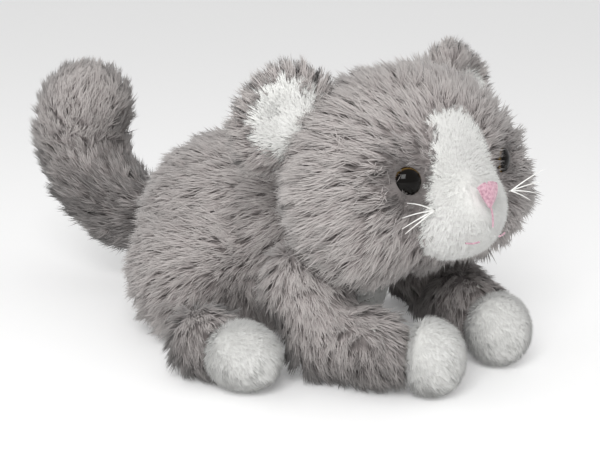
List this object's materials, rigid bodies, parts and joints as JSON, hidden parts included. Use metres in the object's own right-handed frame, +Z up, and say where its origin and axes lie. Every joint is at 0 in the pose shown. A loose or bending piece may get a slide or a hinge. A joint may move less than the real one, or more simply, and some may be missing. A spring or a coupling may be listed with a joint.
{
  "type": "plush cat",
  "caption": "Crouching long-pile grey and white plush cat with a turning head, folding ears, swinging legs and a raised tail.",
  "frame": {"origin": "middle of the flat underside of the belly, on the surface the cat lies on", "axes": "+Z up from the surface, -Y the way the chest and the front paws face, +X to the cat's own left, +Y to the tail"},
  "size_m": [0.1952, 0.3212, 0.1487],
  "materials": {
    "plush_grey": "long mottled grey pile with paler tips",
    "plush_white": "short dense white pile",
    "stuffing": "loose polyester fibre",
    "grey_thread": "twisted sewing thread",
    "white_thread": "stiff smooth thread",
    "pink_thread": "satin-stitched embroidery thread",
    "eye": "moulded, gloss",
    "washer": "moulded, natural"
  },
  "bodies": {
    "trunk": {"body_left_panel": "plush_grey", "body_right_panel": "plush_grey", "chest_panel": "plush_white", "belly_panel": "plush_grey", "body_filling": "stuffing", "closing_seam": "grey_thread"},
    "neck": {"neck_filling": "stuffing"},
    "head": {"head_left_panel": "plush_grey", "head_right_panel": "plush_grey", "muzzle_panel": "plush_white", "head_filling": "stuffing", "eye_left": "eye", "eye_right": "eye", "eye_left_washer": "washer", "eye_right_washer": "washer", "nose": "pink_thread", "mouth_thread": "pink_thread", "whiskers_left": "white_thread", "whiskers_right": "white_thread"},
    "left_ear": {"ear_left_outer": "plush_grey", "ear_left_inner": "plush_white"},
    "right_ear": {"ear_right_outer": "plush_grey", "ear_right_inner": "plush_white"},
    "front_left_leg": {"front_left_outer_panel": "plush_grey", "front_left_inner_panel": "plush_grey", "front_left_paw": "plush_white", "front_left_filling": "stuffing"},
    "front_right_leg": {"front_right_outer_panel": "plush_grey", "front_right_inner_panel": "plush_grey", "front_right_paw": "plush_white", "front_right_filling": "stuffing"},
    "hind_left_leg": {"hind_left_outer_panel": "plush_grey", "hind_left_inner_panel": "plush_grey", "hind_left_paw": "plush_white", "hind_left_filling": "stuffing"},
    "hind_right_leg": {"hind_right_outer_panel": "plush_grey", "hind_right_inner_panel": "plush_grey", "hind_right_paw": "plush_white", "hind_right_filling": "stuffing"},
    "tail_root": {"tail_root_filling": "stuffing"},
    "tail": {"tail_left_panel": "plush_grey", "tail_right_panel": "plush_grey", "tail_filling": "stuffing"}
  },
  "joints": [
    {"name": "head_turn", "type": "hinge", "parent": "trunk", "child": "neck", "pos_m": [0, -0.022, 0.078], "axis": [0, 0, 1], "range_deg": [-7, 7], "stiffness_Nm_per_rad": 2},
    {"name": "head_nod", "type": "hinge", "parent": "neck", "child": "head", "pos_m": [0, -0.022, 0.078], "axis": [1, 0, 0], "range_deg": [-10, 3], "stiffness_Nm_per_rad": 3},
    {"name": "ear_left_fold", "type": "hinge", "parent": "head", "child": "left_ear", "pos_m": [0.04673, -0.04084, 0.11672], "axis": [0.6944, -0.0148, -0.7195], "range_deg": [-12, 12], "stiffness_Nm_per_rad": 0.15},
    {"name": "ear_right_fold", "type": "hinge", "parent": "head", "child": "right_ear", "pos_m": [-0.04453, -0.02963, 0.11351], "axis": [0.5474, -0.3414, 0.764], "range_deg": [-12, 12], "stiffness_Nm_per_rad": 0.15},
    {"name": "front_left_swing", "type": "hinge", "parent": "trunk", "child": "front_left_leg", "pos_m": [0.03, -0.016, 0.046], "axis": [1, 0, 0], "range_deg": [-5, 6], "stiffness_Nm_per_rad": 1},
    {"name": "front_right_swing", "type": "hinge", "parent": "trunk", "child": "front_right_leg", "pos_m": [-0.03, -0.016, 0.046], "axis": [1, 0, 0], "range_deg": [-5, 6], "stiffness_Nm_per_rad": 1},
    {"name": "hind_left_swing", "type": "hinge", "parent": "trunk", "child": "hind_left_leg", "pos_m": [0.066, 0.018, 0.018], "axis": [0, 0, 1], "range_deg": [-1, 20], "stiffness_Nm_per_rad": 0.6},
    {"name": "hind_right_swing", "type": "hinge", "parent": "trunk", "child": "hind_right_leg", "pos_m": [-0.066, 0.018, 0.018], "axis": [0, 0, -1], "range_deg": [-1, 20], "stiffness_Nm_per_rad": 0.6},
    {"name": "tail_swing", "type": "hinge", "parent": "trunk", "child": "tail_root", "pos_m": [0, 0.111, 0.046], "axis": [0, 0, 1], "range_deg": [-18, 18], "stiffness_Nm_per_rad": 1},
    {"name": "tail_lift", "type": "hinge", "parent": "tail_root", "child": "tail", "pos_m": [0, 0.111, 0.046], "axis": [1, 0, 0], "range_deg": [-10, 12], "stiffness_Nm_per_rad": 1.5}
  ]
}
